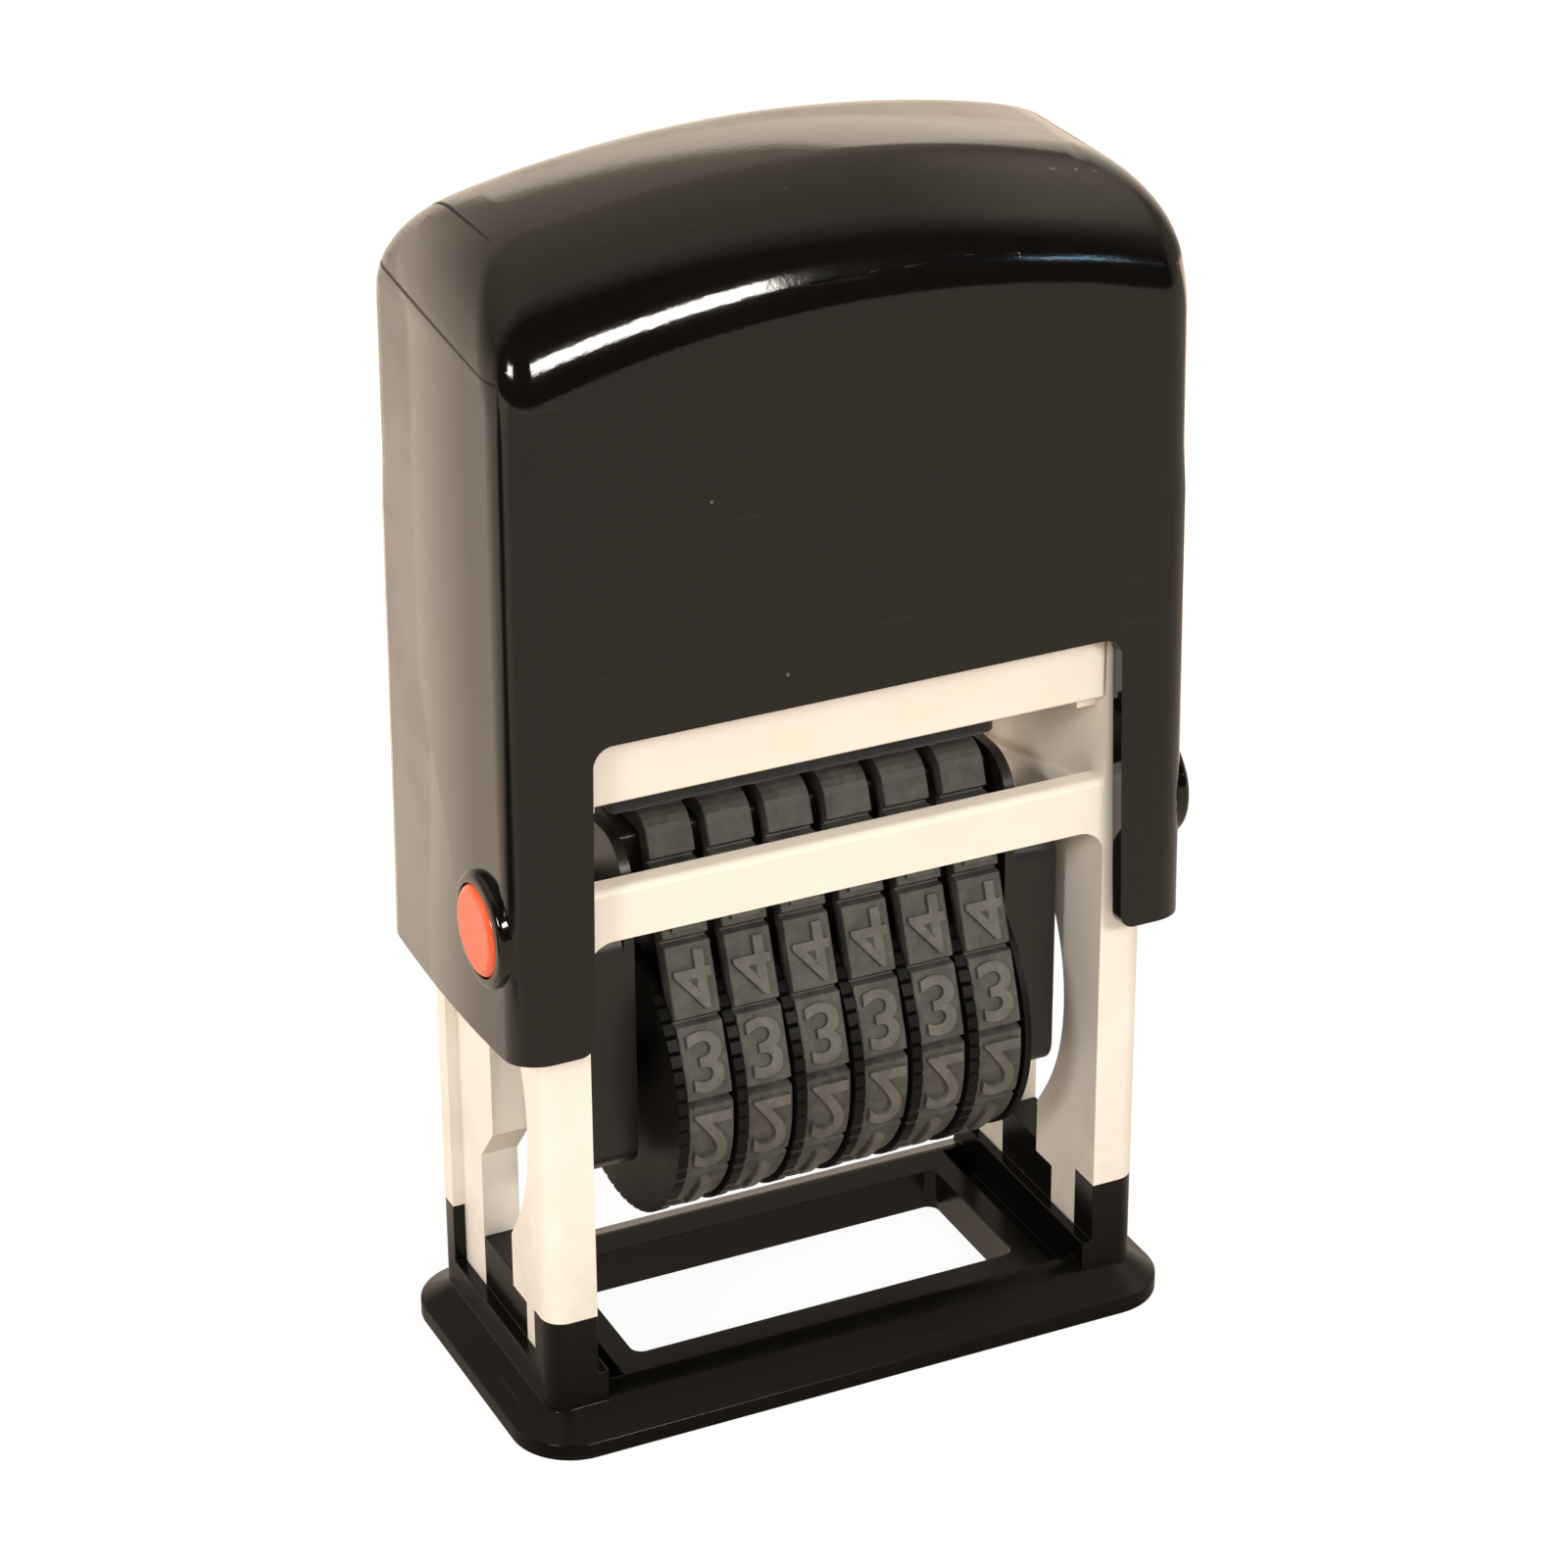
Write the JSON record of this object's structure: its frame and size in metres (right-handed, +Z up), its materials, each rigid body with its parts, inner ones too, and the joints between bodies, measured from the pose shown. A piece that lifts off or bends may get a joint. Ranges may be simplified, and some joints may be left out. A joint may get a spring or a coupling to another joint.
{
  "type": "self-inking number stamp",
  "caption": "Free-standing self-inking number stamp with a plain cover, open frame, foot ring, lock buttons and rows of thumb-turned digit bands.",
  "frame": {"origin": "middle of the foot ring's underside, on the table", "axes": "+Z up, +X to the right seen from the front, -Y the front with the pad tray"},
  "size_m": [0.0478, 0.0232, 0.0806],
  "materials": {
    "cover_black": "gloss",
    "foot_black": "gloss",
    "frame_white": "satin",
    "pad_felt": "matte",
    "carriage_black": "satin",
    "wheel_black": "satin",
    "band_rubber": "matte",
    "button_red": "gloss",
    "shaft_steel": "satin",
    "spring_steel": "satin"
  },
  "bodies": {
    "frame": {"inner_frame": "frame_white", "foot_ring": "foot_black", "ink_tray": "frame_white", "ink_pad": "pad_felt", "return_spring": "spring_steel"},
    "cover": {"cover_shell": "cover_black"},
    "lock_left": {"lock_button_left": "button_red"},
    "lock_right": {"lock_button_right": "button_red"},
    "carriage": {"cheek_left": "carriage_black", "cheek_right": "carriage_black", "platen": "carriage_black", "wheel_shaft": "shaft_steel", "end_disc": "wheel_black", "number_band_1": "band_rubber", "number_band_2": "band_rubber", "number_band_3": "band_rubber", "number_band_4": "band_rubber", "number_band_5": "band_rubber", "number_band_6": "band_rubber"},
    "wheel_1": {"thumb_wheel_1": "wheel_black"},
    "wheel_2": {"thumb_wheel_2": "wheel_black"},
    "wheel_3": {"thumb_wheel_3": "wheel_black"},
    "wheel_4": {"thumb_wheel_4": "wheel_black"},
    "wheel_5": {"thumb_wheel_5": "wheel_black"},
    "wheel_6": {"thumb_wheel_6": "wheel_black"}
  },
  "joints": [
    {"name": "cover_press", "type": "slide", "parent": "frame", "child": "cover", "axis": [0, 0, -1], "range_m": [0, 0.0205], "stiffness_N_per_m": 400, "springref_m": -0.005, "deforming": ["return_spring"]},
    {"name": "carriage_flip", "type": "hinge", "parent": "cover", "child": "carriage", "pos_m": [0, 0, 0.0302], "axis": [-1, 0, 0], "range_deg": [0, 180]},
    {"name": "lock_left_press", "type": "slide", "parent": "cover", "child": "lock_left", "axis": [1, 0, 0], "range_m": [0, 0.0007], "stiffness_N_per_m": 300},
    {"name": "lock_right_press", "type": "slide", "parent": "cover", "child": "lock_right", "axis": [-1, 0, 0], "range_m": [0, 0.0007], "stiffness_N_per_m": 300},
    {"name": "wheel_1_turn", "type": "hinge", "parent": "carriage", "child": "wheel_1", "pos_m": [0, 0, 0.021], "axis": [1, 0, 0], "continuous": true},
    {"name": "wheel_2_turn", "type": "hinge", "parent": "carriage", "child": "wheel_2", "pos_m": [0, 0, 0.021], "axis": [1, 0, 0], "continuous": true},
    {"name": "wheel_3_turn", "type": "hinge", "parent": "carriage", "child": "wheel_3", "pos_m": [0, 0, 0.021], "axis": [1, 0, 0], "continuous": true},
    {"name": "wheel_4_turn", "type": "hinge", "parent": "carriage", "child": "wheel_4", "pos_m": [0, 0, 0.021], "axis": [1, 0, 0], "continuous": true},
    {"name": "wheel_5_turn", "type": "hinge", "parent": "carriage", "child": "wheel_5", "pos_m": [0, 0, 0.021], "axis": [1, 0, 0], "continuous": true},
    {"name": "wheel_6_turn", "type": "hinge", "parent": "carriage", "child": "wheel_6", "pos_m": [0, 0, 0.021], "axis": [1, 0, 0], "continuous": true}
  ],
  "couplings": [
    {"joint": "carriage_flip", "follows": "cover_press", "rad_per_m": 153.25}
  ]
}
